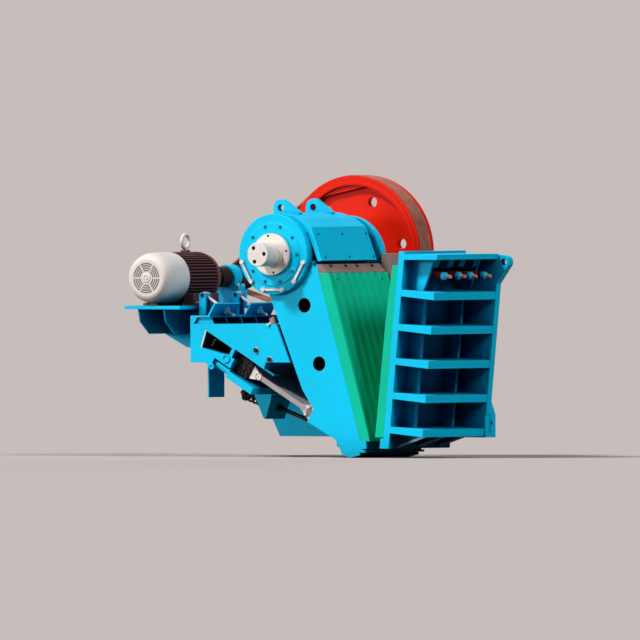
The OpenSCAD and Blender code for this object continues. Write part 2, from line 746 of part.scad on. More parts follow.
// Toe under the moving die, counted from the die's foot, with its two lips in front
function toe_outline() = [[-505, 24], [-433, -85], [-404, -155], [-286, -202], [-142, -170], [-137, -150],
    [-150, -148], [-150, -140], [-64, -137], [-62, -111], [-105, -109], [-105, -95], [-46, -93], [-52, 0]];
module pitman_lug() {
    translate(lug_at) circle(r = 105);
    polygon([lug_at - [105, 0], lug_at - [105, 163], lug_at + [260, -163], lug_at + [265, -58],
        lug_at + [74, 74], lug_at]);
}

module pitman_hood() {
    color(paint) from_shaft() difference() {
        across(hood_y[0], hood_y[1]) polygon([for (p = [[0.35, 0.957], [0.66, 0.876], [0.984, 0.668],
            [1.3, -0.15], [1.18, -0.17], [0.9, 0.5], [0.6, 0.76], [0.35, 0.89]]) barrel_r * p]);
        bar(barrel_r + seat_gap, -side_y, side_y);
    }
}

module near_bearing_cover() {
    color(paint) from_shaft() turned() polygon([[journal_r + run_gap, -pitman_y], [493, -pitman_y],
        [493, -pitman_y - 58], [485, -pitman_y - 66], [388, -pitman_y - 66], [383, -pitman_y - 76],
        [journal_r + run_gap, -pitman_y - 76]]);
}

module far_bearing_cover() {
    color(paint) from_shaft() turned() polygon([[journal_r + run_gap, pitman_y], [493, pitman_y],
        [493, pitman_y + 14], [journal_r + run_gap, pitman_y + 14]]);
}

module cover_lock_bars() {
    y = -pitman_y - 66;
    color(cream) from_shaft() for (a = [120, 180, 240]) rotate([0, a, 0]) {
        for (s = [-1, 1]) rotate([0, s * 17.4, 0]) translate([0, 0, 452]) bar(26, y - 30, y);
        translate([-135, y - 22, 420]) cube([270, 16, 26]);
    }
}

module moving_jaw_die() {
    hole_y = 3 * 2 * die_y / ridge_count;
    color(green) from_shaft() difference() {
        intersection() {
            translate([moving_top[0], 0, moving_top[1]]) rotate([0, -moving_lean, 0])
                translate([0, 0, 60]) ridged_plate(2 * die_y, moving_len + 120, moving_top_t + 40);
            across(-side_y, side_y)
                polygon([die_back_top, moving_top + [100, 0], moving_foot + [100, 0], die_back_foot]);
        }
        both_sides() translate([moving_top[0], hole_y, moving_top[1] - 85]) rotate([0, 90 - moving_lean, 0])
            translate([0, 0, -50]) cylinder(r = hole_in_die_r, h = 200);
    }
}

module moving_jaw_wedge() {
    color(brown) from_shaft() difference() {
        translate([die_back_top[0], 0]) across(-die_y, die_y) polygon([[touch, moving_top[1] + touch],
            [touch - 10, wedge_top_z], [28, wedge_top_z],
            [125, moving_top[1] + 11], [125, moving_top[1] + touch]]);
        for (y = [-467, -127, 127, 467])
            translate([die_back_top[0] + 12, y - wedge_notch / 2, wedge_top_z - 38])
            cube([80, wedge_notch, 40]);
    }
}

module eccentric_shaft() {
    color(cream) from_shaft() difference() {
        shaft_steps();
        ring_of([85, 205, 325], 96) bar(18, nose_end - 7, nose_end + 54);
    }
}
module shaft_steps() {
    turned() polygon([[0, nose_end - 6], [nose_r - 6, nose_end - 6], [nose_r, nose_end],
        [nose_r, collar_front - collar_hub], [nose_seat_r, collar_front - collar_hub],
        [nose_seat_r, collar_back + 2], [journal_r, collar_back + 2], [journal_r, -620], [shaft_r, -620],
        [shaft_r, 620], [journal_r, 620], [journal_r, wheel_y - 38], [wheel_seat_r, wheel_y - 38],
        [wheel_seat_r, wheel_y + wheel_w + 40], [0, wheel_y + wheel_w + 40]]);
}

module shaft_collar() {
    color(cream) from_shaft() difference() {
        union() {
            bar(collar_r, collar_front, collar_back);
            bar(collar_hub_r, collar_front - collar_hub, collar_back);
        }
        bar(nose_seat_r + fit_gap, -side_y - 200, side_y);
        ring_of([-10, 80, 170, 260], 227) bar(16, collar_front - 1, collar_back + 1);
    }
}

module flywheel() {
    bore = wheel_seat_r + fit_gap;
    color(red) from_shaft() difference() {
        turned() polygon(concat([[bore, wheel_y - 35], [250, wheel_y - 35], [270, wheel_y + 60],
            [760, wheel_y + web_at[0]], [rim_r, wheel_y + web_at[0]], [rim_r, wheel_y],
            [rim_step_r, wheel_y], [rim_step_r, wheel_y + rim_step], [wheel_r, wheel_y + rim_step]],
            grooves(wheel_r), [[wheel_r, wheel_y + wheel_w], [rim_r, wheel_y + wheel_w],
            [rim_r, wheel_y + web_at[1]], [270, wheel_y + web_at[1]], [250, wheel_y + wheel_w + 30],
            [bore, wheel_y + wheel_w + 30]]));
        ring_of([for (i = [0:5]) 20 + 60 * i], 658) bar(64, wheel_y, wheel_y + wheel_w);
    }
}

module flywheel_weight() {
    color(red) from_shaft() intersection() {
        bar(rim_r - touch, wheel_y + 20, wheel_y + web_at[0] - touch, $fn = 360);
        rotate([0, -12, 0]) translate([-700, wheel_y + 30, 761]) cube([1400, 62, 100]);
    }
}

far_side_plate();
foot_flange();
front_frame();
fixed_jaw_die();
die_draw_bolts();
draw_bolt_springs();
far_cheek_plate();
far_main_bearing();
rear_frame();
clamp_lugs();
clamp_rods();
motor_bracket();
motor_base();
motor_body();
motor_fan_cover();
motor_lifting_eye();
bearing_pedestal();
drive_coupling();
drive_shaft();
drive_pulley();
drive_belts();
toggle_beam();
adjusting_wedges();
adjusting_cylinder();
toggle_beam_guides();
frame_toggle_seat();
toggle_plate();
pitman_toggle_seat();
spring_bracket();
tension_spring();
tension_rod();
rear_support_post();
pitman();
pitman_hood();
near_bearing_cover();
far_bearing_cover();
cover_lock_bars();
moving_jaw_die();
moving_jaw_wedge();
eccentric_shaft();
shaft_collar();
flywheel();
flywheel_weight();
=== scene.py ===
"""Single toggle jaw crusher, cut away on its near side: finishes, fasteners, springs and the studio."""
import json
import math
import random

import bmesh
import bpy
from mathutils import Matrix, Vector


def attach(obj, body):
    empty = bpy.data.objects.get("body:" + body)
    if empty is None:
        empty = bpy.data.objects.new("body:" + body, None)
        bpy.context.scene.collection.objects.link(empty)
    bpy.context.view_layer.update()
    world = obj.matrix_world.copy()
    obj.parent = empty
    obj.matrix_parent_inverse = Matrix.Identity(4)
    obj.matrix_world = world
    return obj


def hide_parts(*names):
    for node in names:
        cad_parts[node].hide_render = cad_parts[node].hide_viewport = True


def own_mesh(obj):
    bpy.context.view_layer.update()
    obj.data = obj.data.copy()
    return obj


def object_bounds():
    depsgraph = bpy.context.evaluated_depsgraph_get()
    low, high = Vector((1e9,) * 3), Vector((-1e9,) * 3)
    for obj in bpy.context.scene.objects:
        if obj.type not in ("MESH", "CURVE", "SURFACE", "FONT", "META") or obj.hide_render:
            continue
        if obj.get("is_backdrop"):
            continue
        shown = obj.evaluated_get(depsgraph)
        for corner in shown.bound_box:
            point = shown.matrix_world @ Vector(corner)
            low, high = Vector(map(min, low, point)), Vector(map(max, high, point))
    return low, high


bl_info = {
    "name": "Jaw Crusher Dressing",
    "version": (1, 0, 0),
    "blender": (4, 5, 0),
    "location": "3D View > Sidebar > Crusher",
    "description": "Finishes and small pieces for a cut away jaw crusher",
    "category": "Object",
}

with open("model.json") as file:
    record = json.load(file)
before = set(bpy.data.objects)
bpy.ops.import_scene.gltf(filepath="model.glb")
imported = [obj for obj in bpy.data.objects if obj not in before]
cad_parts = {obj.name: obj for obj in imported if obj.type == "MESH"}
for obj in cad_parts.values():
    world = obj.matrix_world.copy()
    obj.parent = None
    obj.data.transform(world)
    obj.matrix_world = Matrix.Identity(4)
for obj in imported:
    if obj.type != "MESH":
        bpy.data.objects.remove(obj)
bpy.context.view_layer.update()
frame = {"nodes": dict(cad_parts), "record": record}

# The main shaft's axis at the machine's mid-plane, from which most places are given, and the motor's axis
SHAFT = Vector((-0.671, -0.8165, 2.235))
MOTOR = SHAFT + Vector((-1.73, 0.0, -0.30))
# The tension rod's slope, its eye in the pitman, and the spring's seat and sizes behind that eye
ROD_SLOPE = math.radians(19.5)
ROD_EYE = (0.500, 0.0, -2.190)
SPRING_SEAT = 0.9745
SPRING_LENGTH = 0.440
SPRING_RADIUS = 0.066
SPRING_WIRE = 0.0135
# The pitman's barrel, the fixed die's draw bolts and the lean of the front wall that they pass through
BARREL_R = 0.500
DRAW_BOLT_Y = (-0.450, -0.130, 0.130, 0.450)
DRAW_BOLT_Z = -0.213
FRONT_LEAN = math.radians(5.5)
# The toggle plate's slope, rear seat and length, and the moving die's lean
TOGGLE_SLOPE = math.radians(30)
TOGGLE_REAR = (-0.309, -1.500)
TOGGLE_LEN = 0.740
MOVING_LEAN = math.radians(16.05)
# The frame's near and far faces, the front wall's face at the shaft's height, and the tops and undersides
# of the front ribs, of which the first stands apart from the even row under it
FRAME_SIDE = 0.700
FRONT_WALL_X = 1.867
FIRST_RIB = (0.008, -0.057)
SECOND_RIB = (-0.422, -0.500)
RIB_PITCH = 0.418
RIBS = 6
# The foot flange's corner with the side plate, its two ends and the gussets on it
FLANGE_Y = 0.800
FLANGE_TOP = -2.175
FLANGE_REAR = -0.810
FLANGE_FRONT = 2.152
GUSSET_STEP = 2.917 / 5
GUSSET_T = 0.045
GUSSET_TALL = 0.450
NEAR = Vector((0.0, -1.0, 0.0))
FAR = Vector((0.0, 1.0, 0.0))
UP = Vector((0.0, 0.0, 1.0))


def at(x, y, z):
    """A place given from the main shaft's axis and the mid-plane."""
    return SHAFT + Vector((x, y, z))


def on_toggle(u, w, y):
    """A place counted along and square to the toggle plate, from its rear seat."""
    along, square = math.cos(TOGGLE_SLOPE), math.sin(TOGGLE_SLOPE)
    return at(TOGGLE_REAR[0] + u * along + w * square, y, TOGGLE_REAR[1] - u * square + w * along)


def polar(centre, radius, degrees, y):
    """A place on a circle round an axis across the machine, its angle counted from straight up."""
    angle = math.radians(degrees)
    return centre + Vector((radius * math.sin(angle), y, radius * math.cos(angle)))


# Shader expressions

class Wire:
    """A shader socket that Python's arithmetic extends with Math nodes."""

    def __init__(self, graph, socket):
        self.graph = graph
        self.socket = socket

    def __add__(self, other):
        return self.graph.maths("ADD", self, other)

    def __sub__(self, other):
        return self.graph.maths("SUBTRACT", self, other)

    def __mul__(self, other):
        return self.graph.maths("MULTIPLY", self, other)

    def ramp(self, low, high, start=0.0, end=1.0):
        """Maps low..high to start..end, smoothly and with its ends held."""
        span = {"From Min": low, "From Max": high, "To Min": start, "To Max": end}
        return self.graph.node("ShaderNodeMapRange", {"interpolation_type": "SMOOTHSTEP"},
                               {"Value": self, **span})


class Graph:
    """The emptied node tree of a new material or of the world."""

    def __init__(self, owner):
        self.owner = owner
        owner.use_nodes = True
        self.tree = owner.node_tree
        self.tree.nodes.clear()

    def node(self, kind, settings, inputs, output=0):
        """Adds a node: its settings first, then a value or a wire for each socket it names."""
        made = self.tree.nodes.new(kind)
        for key, value in settings.items():
            setattr(made, key, value)
        for key, value in inputs.items():
            if isinstance(value, Wire):
                self.tree.links.new(value.socket, made.inputs[key])
            else:
                made.inputs[key].default_value = value
        return Wire(self, made.outputs[output]) if made.outputs else None

    def place(self):
        return self.node("ShaderNodeTexCoord", {}, {}, "Object")

    def maths(self, operation, *values):
        return self.node("ShaderNodeMath", {"operation": operation}, dict(enumerate(values)))

    def vector(self, operation, first, second, output="Vector"):
        return self.node("ShaderNodeVectorMath", {"operation": operation}, {0: first, 1: second}, output)

    def noise(self, scale, detail, stretch=None):
        where = self.place()
        if stretch is not None:
            where = self.vector("MULTIPLY", where, stretch)
        return self.node("ShaderNodeTexNoise", {}, {"Vector": where, "Scale": scale, "Detail": detail}, "Fac")

    def mix(self, factor, first, second):
        """Mixes two colours, each an RGB triple or a wire."""
        ends = [tone if isinstance(tone, Wire) else (*tone, 1.0) for tone in (first, second)]
        return self.node("ShaderNodeMix", {"data_type": "RGBA"}, {0: factor, 6: ends[0], 7: ends[1]}, 2)

    def edges(self, radius):
        """1 along sharp edges, 0 on faces: how far a rounded normal turns from the true one."""
        rounded = self.node("ShaderNodeBevel", {"samples": 4}, {"Radius": radius})
        true = self.node("ShaderNodeNewGeometry", {}, {}, "Normal")
        return self.vector("DOT_PRODUCT", rounded, true, "Value").ramp(0.99, 0.86)

    def occlusion_shade(self, shade_reach):
        """Mask of painted shade: 1 deep in recesses and under overhangs, 0 on open faces, by ambient
        occlusion.
        """
        open_air = self.node("ShaderNodeAmbientOcclusion", {"samples": 6}, {"Distance": shade_reach}, "AO")
        return open_air.ramp(0.8, 0.15)

    def radius_from(self, x, z):
        """Distance from an axis across the machine."""
        parts = self.vector("SUBTRACT", self.place(), (x, 0.0, z))
        flat = self.vector("MULTIPLY", parts, (1.0, 0.0, 1.0))
        return self.vector("LENGTH", flat, (0.0, 0.0, 0.0), "Value")

    def shown_rays(self):
        """1 for rays from the camera, off gloss and through glass, which see the backdrop's plain colour."""
        shown, glossy, through = [self.node("ShaderNodeLightPath", {}, {}, f"Is {kind} Ray")
                                  for kind in ("Camera", "Glossy", "Transmission")]
        return self.maths("MAXIMUM", self.maths("MAXIMUM", shown, glossy), through)

    def finish(self, tone, roughness, height, distance, round_off, gloss=0.5):
        """Ends the tree in one Principled shader, with bumps over rounded edges."""
        rounded = self.node("ShaderNodeBevel", {"samples": 4}, {"Radius": round_off})
        bump = {"Height": height, "Distance": distance, "Strength": 1.0, "Normal": rounded}
        inputs = {"Base Color": tone, "Roughness": roughness, "Specular IOR Level": gloss,
                  "Normal": self.node("ShaderNodeBump", {}, bump)}
        shader = self.node("ShaderNodeBsdfPrincipled", {}, inputs)
        self.node("ShaderNodeOutputMaterial", {}, {"Surface": shader})
        return self.owner


def srgb(r, g, b):
    """Linear colour of an sRGB triple, 0 to 255."""
    return [c / 255 / 12.92 if c <= 10 else ((c / 255 + 0.055) / 1.055) ** 2.4 for c in (r, g, b)]


def shade(colour, factor, lift=0.0):
    """A darker or brighter version of a colour, held at full brightness."""
    return [min(1.0, c * factor + lift) for c in colour]


def painted(name, colour, wear_and_highlight, rough=0.46, peel=260.0, deep=None, shade_reach=0.6, groove_shade_radii=()):
    """Sprayed machine paint: cloudy tone, orange peel and settled dust, with painted edge highlights in
    patches like rubbed wear, painted shade in recesses and painted shade rings at turned grooves.
    """
    g = Graph(bpy.data.materials.new(name))
    clouds = g.noise(1.7, 4.0).ramp(0.3, 0.7)
    speckle = g.noise(38.0, 5.0)
    tone = g.mix(clouds, shade(colour, 0.94), shade(colour, 1.04))
    # Painted highlight: edges lighten towards the second colour, in patches laid out like rubbed wear.
    rubbed_and_highlit = g.edges(0.012) * speckle.ramp(0.38, 0.6)
    tone = g.mix(rubbed_and_highlit * 0.6, tone, wear_and_highlight)
    upward = g.node("ShaderNodeSeparateXYZ", {}, {0: g.node("ShaderNodeNewGeometry", {}, {}, "Normal")}, "Z")
    dust = upward.ramp(0.5, 0.95) * g.noise(6.0, 6.0).ramp(0.4, 0.75, 0.0, 0.3)
    tone = g.mix(dust * 0.25, tone, (0.42, 0.44, 0.44))
    # Painted shade: recesses and undersides take the deep colour, as far as the reach goes.
    tone = g.mix(g.occlusion_shade(shade_reach) * 0.92, tone, deep or shade(colour, 0.3))
    roughness = clouds * 0.06 + dust * 0.3 + rough
    height = g.noise(peel, 2.0) * 0.35 + speckle * 0.65
    # Painted shade: dark rings at the given radii stand for the shade in turned grooves on the face.
    for groove_radius in groove_shade_radii:
        groove_shade = g.maths("ABSOLUTE", g.radius_from(SHAFT.x, SHAFT.z) - groove_radius).ramp(0.007, 0.002)
        tone = g.mix(groove_shade * 0.6, tone, shade(colour, 0.3))
    return g.finish(tone, roughness, height, 0.0008, 0.006, 0.07)


def bare_metal(name, colour, rough, grain, cut=(1.0, 1.0, 1.0), gloss=0.5):
    """Machined or rolled steel: streaks along the cut, blotches of oxide and bright edges."""
    g = Graph(bpy.data.materials.new(name))
    streaks = g.noise(grain, 4.0, cut)
    blotch = g.noise(7.0, 6.0).ramp(0.35, 0.68)
    tone = g.mix(streaks.ramp(0.3, 0.7), shade(colour, 0.88), shade(colour, 1.08))
    tone = g.mix(blotch * 0.35, tone, [c * f for c, f in zip(colour, (0.78, 0.70, 0.64))])
    bright = g.edges(0.004) * g.noise(60.0, 3.0).ramp(0.35, 0.6)
    tone = g.mix(bright * 0.4, tone, shade(colour, 1.25, 0.05))
    roughness = streaks * 0.14 + blotch * 0.12 + (rough - 0.1)
    return g.finish(tone, roughness, streaks * 0.6 + g.noise(180.0, 2.0) * 0.4, 0.0005, 0.002, gloss)


def cast_metal(name, colour, rough, coarse=90.0, depth=0.004):
    """Cast manganese steel: a sandy skin with dark pits and scuffed high spots."""
    g = Graph(bpy.data.materials.new(name))
    sand = g.noise(coarse, 8.0)
    patches = g.noise(3.2, 5.0).ramp(0.35, 0.65)
    tone = g.mix(patches, shade(colour, 0.82), shade(colour, 1.12))
    tone = g.mix(sand.ramp(0.52, 0.34) * 0.5, tone, shade(colour, 0.45))
    tone = g.mix(g.edges(0.01) * sand.ramp(0.4, 0.6) * 0.5, tone, shade(colour, 1.5, 0.06))
    roughness = sand * 0.2 + patches * 0.08 + (rough - 0.12)
    return g.finish(tone, roughness, sand * 0.7 + g.noise(22.0, 4.0) * 0.3, depth, 0.008)


def rubber(name, colour):
    """Dusty belt rubber with a woven back."""
    g = Graph(bpy.data.materials.new(name))
    weave = g.noise(300.0, 2.0, (1.0, 0.3, 1.0))
    dust = g.noise(9.0, 6.0).ramp(0.35, 0.7)
    tone = g.mix(dust, shade(colour, 0.75), shade(colour, 1.2))
    tone = g.mix(weave.ramp(0.55, 0.4) * 0.4, tone, shade(colour, 0.55))
    return g.finish(tone, dust * 0.1 + 0.75, weave, 0.0008, 0.002)


# Mesh tools

def new_piece(name, bm, body, material, smooth=None, bevel=0.0):
    """Turns a bmesh into a piece that rides on a CAD body."""
    mesh = bpy.data.meshes.new(name)
    bmesh.ops.recalc_face_normals(bm, faces=bm.faces)
    bm.to_mesh(mesh)
    bm.free()
    piece = bpy.data.objects.new(name, mesh)
    bpy.context.scene.collection.objects.link(piece)
    piece.data.materials.append(bpy.data.materials[material])
    if bevel > 0:
        rounding = piece.modifiers.new("Rounding", "BEVEL")
        rounding.width = bevel
        rounding.segments = 2
        rounding.limit_method = "ANGLE"
        rounding.angle_limit = math.radians(40)
    if smooth is not None:
        mesh.shade_smooth()
        mesh.set_sharp_from_angle(angle=math.radians(smooth))
    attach(piece, body)
    return piece


def axes_for(direction):
    """A rotation that turns +Z to a direction."""
    return Vector(direction).to_track_quat("Z", "Y").to_matrix().to_4x4()


def bridge(bm, rings):
    """Faces between one ring of vertices and the next, where a ring may be a single point."""
    for low, high in zip(rings, rings[1:]):
        count = max(len(low), len(high))
        for k in range(count):
            n = (k + 1) % count
            corners = (low[k % len(low)], low[n % len(low)], high[n % len(high)], high[k % len(high)])
            if count > 1:
                bm.faces.new(tuple(dict.fromkeys(corners)))


def tube(bm, rings):
    """Faces along rings of vertices, with both ends closed."""
    bridge(bm, rings)
    bm.faces.new(rings[0][::-1])
    bm.faces.new(rings[-1])


def lathe(bm, outline, origin, direction, segments=32):
    """Revolves (radius, height) points round a direction through an origin."""
    place = Matrix.Translation(origin) @ axes_for(direction)
    rings = []
    for radius, height in outline:
        count = segments if radius > 0 else 1
        turns = [math.tau * k / count for k in range(count)]
        ring = [Vector((radius * math.cos(turn), radius * math.sin(turn), height)) for turn in turns]
        rings.append([bm.verts.new(place @ point) for point in ring])
    bridge(bm, rings)


def hexagon(bm, across_flats, height, origin, direction, turn):
    """A hexagon head or nut with the round chamfer of a real one."""
    flat = across_flats / 2
    face_radius = flat * 0.97
    chamfer = math.tan(math.radians(30))
    place = Matrix.Translation(origin) @ axes_for(direction) @ Matrix.Rotation(turn, 4, "Z")
    count = 24
    foot, rim, face = [], [], []
    for k in range(count):
        angle = math.tau * k / count
        ray = Vector((math.cos(angle), math.sin(angle), 0))
        off = (angle + math.pi / 6) % (math.pi / 3) - math.pi / 6
        radius = flat / math.cos(off)
        drop = (radius - flat) * chamfer
        foot.append(bm.verts.new(place @ (ray * radius)))
        rim.append(bm.verts.new(place @ (ray * radius + UP * (height - drop))))
        face.append(bm.verts.new(place @ (ray * face_radius + UP * height)))
    tube(bm, [foot, rim, face])


def bolt(bm, origin, direction, size, turn, washer=True):
    """A hexagon bolt head of a nominal thread size, on its washer."""
    if washer:
        rim, thick = size * 1.05, size * 0.15
        ring = [(0, 0), (rim, 0), (size * 1.08, size * 0.06), (rim, thick), (0, thick)]
        lathe(bm, ring, origin, direction, 24)
        origin = origin + direction * thick
    hexagon(bm, size * 1.55, size * 0.66, origin, direction, turn)


def threaded(bm, origin, direction, radius, length):
    """A threaded end with a chamfered tip."""
    pitch = max(0.004, radius * 0.25)
    outline = [(0, 0), (radius, 0)]
    z = 0.0
    while z + pitch < length - radius * 0.15:
        outline += [(radius, z + pitch * 0.2), (radius * 0.9, z + pitch * 0.6), (radius, z + pitch)]
        z += pitch
    outline += [(radius * 0.98, length - radius * 0.12), (radius * 0.82, length), (0, length)]
    lathe(bm, outline, origin, direction, 20)


def coil(bm, origin, direction, radius, wire, turns, length, per_turn=28, sides=10):
    """A closed and ground compression spring, from an origin along a direction."""
    place = Matrix.Translation(origin) @ axes_for(direction)
    steps = int(turns * per_turn)
    rings = []
    for k in range(steps + 1):
        t = k / steps
        flat = 0.75 / turns
        if t < flat:
            rise = 0.5 * t * t / flat
        elif t > 1 - flat:
            rise = (1 - flat) - 0.5 * (1 - t) * (1 - t) / flat
        else:
            rise = t - flat / 2
        z = wire + rise / (1 - flat) * (length - 2 * wire)
        angle = math.tau * turns * t
        ring = []
        for j in range(sides):
            b = math.tau * j / sides
            r = radius + wire * math.cos(b)
            point = Vector((r * math.cos(angle), r * math.sin(angle), z + wire * math.sin(b)))
            ring.append(bm.verts.new(place @ point))
        rings.append(ring)
    tube(bm, rings)


def section(bm, outline, y):
    """Vertices at an outline's places, moved to one station across the machine."""
    return [bm.verts.new(Vector((p.x, SHAFT.y + y, p.z))) for p in outline]


def prism(bm, outline, y0, y1):
    """A plate across the machine: places in order round its outline, from one station to another."""
    tube(bm, [section(bm, outline, y) for y in (y0, y1)])


def lining(bm, outline, y0, y1):
    """A thin skin inside an opening across the machine, open at both ends."""
    middle = sum(outline, Vector()) / len(outline)
    outer, inner = 0.997, 0.99
    rings = []
    for share, y in ((outer, y0), (outer, y1), (inner, y1), (inner, y0)):
        rings.append(section(bm, [middle.lerp(p, share) for p in outline], y))
    bridge(bm, rings + rings[:1])


def weld(bm, start, end, side_a, side_b, leg, seed):
    """A rippled fillet weld between two plates that leave the corner along side_a and side_b."""
    along = end - start
    steps = max(4, int(along.length / 0.012))
    side_a, side_b = Vector(side_a).normalized(), Vector(side_b).normalized()
    chance = random.Random(seed)
    rings = []
    for k in range(steps + 1):
        centre = start + along * (k / steps)
        swell = leg * (1.0 + (0.10 if k % 2 else -0.06) + chance.uniform(-0.04, 0.04))
        ring = []
        for turn in (0.0, 0.33, 0.67, 1.0):
            angle = turn * math.pi / 2
            bulge = swell * (0.86 + 0.14 * abs(2 * turn - 1))
            round_off = side_a * bulge * math.cos(angle) + side_b * bulge * math.sin(angle)
            ring.append(bm.verts.new(centre + round_off))
        ring.append(bm.verts.new(centre - (side_a + side_b) * 0.002))
        rings.append(ring)
    tube(bm, rings)


# Each lamp: the way its light goes, its strength and its width in degrees
LAMPS = {
    "key_sun": ((0.35, 0.56, -0.75), 2.75, 8),
    "front_fill": ((-0.76, 0.20, -0.62), 1.5, 20),
    "low_fill": ((0.64, 0.76, -0.12), 1.4, 20),
    "back_sun": ((0.30, -0.95, -0.10), 1.4, 20),
}
AMBIENT = (0.0315, 0.0315, 0.070)
# The floor's half size, and the photograph's view: its angles in degrees, its centre to the right of and
# above the shaft's axis, and the width that it shows
FLOOR_HALF = 60.0
VIEW_AZIMUTH = 32.3
VIEW_ELEVATION = 0.6
VIEW_CENTRE = (0.1768, -0.8085)
VIEW_WIDTH = 640 / 82
CAMERA_DISTANCE = 20


# Sizes and colours a user may change

class CrusherColours(bpy.types.PropertyGroup):
    """Paint and metal colours of the machine."""

    machine: bpy.props.FloatVectorProperty(
        name="Machine paint", description="Bright blue on the frame, pitman and motor bracket",
        subtype="COLOR", size=3, min=0, max=1, default=srgb(0, 207, 248))
    jaw: bpy.props.FloatVectorProperty(
        name="Jaw dies", description="Green on the fixed and moving jaw dies",
        subtype="COLOR", size=3, min=0, max=1, default=srgb(0, 199, 160))
    wheel: bpy.props.FloatVectorProperty(
        name="Flywheel", description="Red on the flywheel and its weight",
        subtype="COLOR", size=3, min=0, max=1, default=srgb(245, 32, 4))
    cream: bpy.props.FloatVectorProperty(
        name="Cream", description="Cream on the fan cover and the lifting eye",
        subtype="COLOR", size=3, min=0, max=1, default=srgb(232, 221, 212))


class CrusherSizes(bpy.types.PropertyGroup):
    """Sizes of the small pieces."""

    cover_bolt: bpy.props.FloatProperty(
        name="Cover bolt", description="Thread size of the bearing cover's bolts",
        default=0.020, min=0.012, max=0.036, unit="LENGTH")
    weld_leg: bpy.props.FloatProperty(
        name="Weld leg", description="Leg of the fillet welds",
        default=0.013, min=0.006, max=0.03, unit="LENGTH")
    spring_turns: bpy.props.IntProperty(
        name="Spring turns", description="Turns of the tension spring", default=7, min=5, max=14)


# One operator for each piece or group of like pieces

class CRUSHER_OT_finishes(bpy.types.Operator):
    """Make every finish and put it on the CAD pieces"""

    bl_idname = "crusher.finishes"
    bl_label = "Finishes"

    def execute(self, context):
        colours = context.scene.crusher_colours
        # Each painted finish below: its second colour is the painted edge highlight, and its deep colour and
        # reach set the painted shade in recesses; the flywheel's two radii are painted shade rings.
        made = {
            "blue_paint": painted("Machine Paint", list(colours.machine), srgb(60, 235, 255),
                                  deep=srgb(2, 44, 104)),
            "green_paint": painted("Jaw Die Paint", list(colours.jaw), srgb(60, 235, 190), 0.5, 120.0,
                                   shade_reach=0.08),
            "red_paint": painted("Flywheel Paint", list(colours.wheel), srgb(250, 80, 50),
                                 deep=srgb(150, 4, 2), shade_reach=0.07, groove_shade_radii=(0.904, 0.840)),
            "motor_paint": painted("Motor Paint", srgb(120, 78, 76), srgb(165, 130, 124), 0.5, shade_reach=0.2),
            "cream_paint": painted("Cream Paint", list(colours.cream), srgb(248, 243, 236), 0.45),
            "bare_steel": bare_metal("Machined Steel", srgb(238, 228, 219), 0.48, 90.0, (1.0, 0.15, 1.0)),
            "toggle_steel": bare_metal("Toggle Steel", srgb(172, 163, 162), 0.6, 40.0),
            "wear_steel": cast_metal("Manganese Steel", srgb(150, 120, 112), 0.7),
            "spring_steel": painted("Spring Paint", srgb(70, 14, 14), srgb(150, 80, 75), 0.5, shade_reach=0.02),
            "black_steel": bare_metal("Black Steel", srgb(18, 13, 14), 0.6, 60.0, gloss=0.25),
            "cast_iron": cast_metal("Dark Cast Iron", srgb(62, 44, 44), 0.6, 120.0, 0.001),
            "belt_rubber": rubber("Belt Rubber", srgb(186, 118, 98)),
        }
        bare_metal("Bolt End Steel", srgb(232, 150, 122), 0.5, 120.0)
        # Painted highlight: near-white paint for the strips that stand for lit edges.
        painted("Edge Highlight Paint", srgb(206, 245, 252), srgb(240, 250, 252), shade_reach=0.01)
        bare_metal("Wire Steel", srgb(150, 140, 135), 0.5, 160.0)
        painted("Bolt Paint", srgb(14, 96, 128), srgb(90, 170, 200), 0.4)
        for row in frame["record"]["subparts"]:
            node = frame["nodes"][row["node"]]
            node.data.materials.clear()
            node.data.materials.append(made[row["material_slot"]])
        return {"FINISHED"}


class CRUSHER_OT_cover_bolts(bpy.types.Operator):
    """Bolts round the near bearing cover, and one beside it on the pitman's side"""

    bl_idname = "crusher.cover_bolts"
    bl_label = "Cover Bolts"

    def execute(self, context):
        size = context.scene.crusher_sizes.cover_bolt
        circle, cover_face = 0.351, -0.751
        bm = bmesh.new()
        for k in range(10):
            bolt(bm, polar(SHAFT, circle, 18 + 36 * k, cover_face), NEAR, size, 0.2 * k, washer=False)
        bolt(bm, at(0.552, -0.675, -0.105), NEAR, size * 1.4, 0.3)
        new_piece("near_cover_bolts", bm, "swing_jaw", "Bolt Paint", 35)
        return {"FINISHED"}


class CRUSHER_OT_shaft_screws(bpy.types.Operator):
    """Socket screws in the near collar, and black plugs as painted shade in the shaft's end holes"""

    bl_idname = "crusher.shaft_screws"
    bl_label = "Shaft Screws"

    def execute(self, context):
        bm = bmesh.new()
        screw_circle, collar_face = 0.227, -0.766
        screw = [(0, 0), (0.0155, 0), (0.0155, 0.016), (0.0140, 0.018), (0.009, 0.018), (0.009, 0.010),
                 (0, 0.010)]
        for degrees in (-10, 80, 170, 260):
            lathe(bm, screw, polar(SHAFT, screw_circle, degrees, collar_face), NEAR, 24)
        # Painted shade: black plugs in the shaft's three end holes stand for the shade inside them.
        hole_circle, hole_end = 0.096, -1.070
        shade_bottom = [(0, 0), (0.0178, 0), (0.0178, 0.030), (0.0250, 0.030), (0.0252, 0.0315), (0.0130, 0.0315),
                  (0.0120, 0.018), (0, 0.018)]
        for degrees in (85, 205, 325):
            lathe(bm, shade_bottom, polar(SHAFT, hole_circle, degrees, hole_end), NEAR, 28)
        new_piece("shaft_end_screws_and_hole_shade", bm, "rotor", "Black Steel", 35)
        return {"FINISHED"}


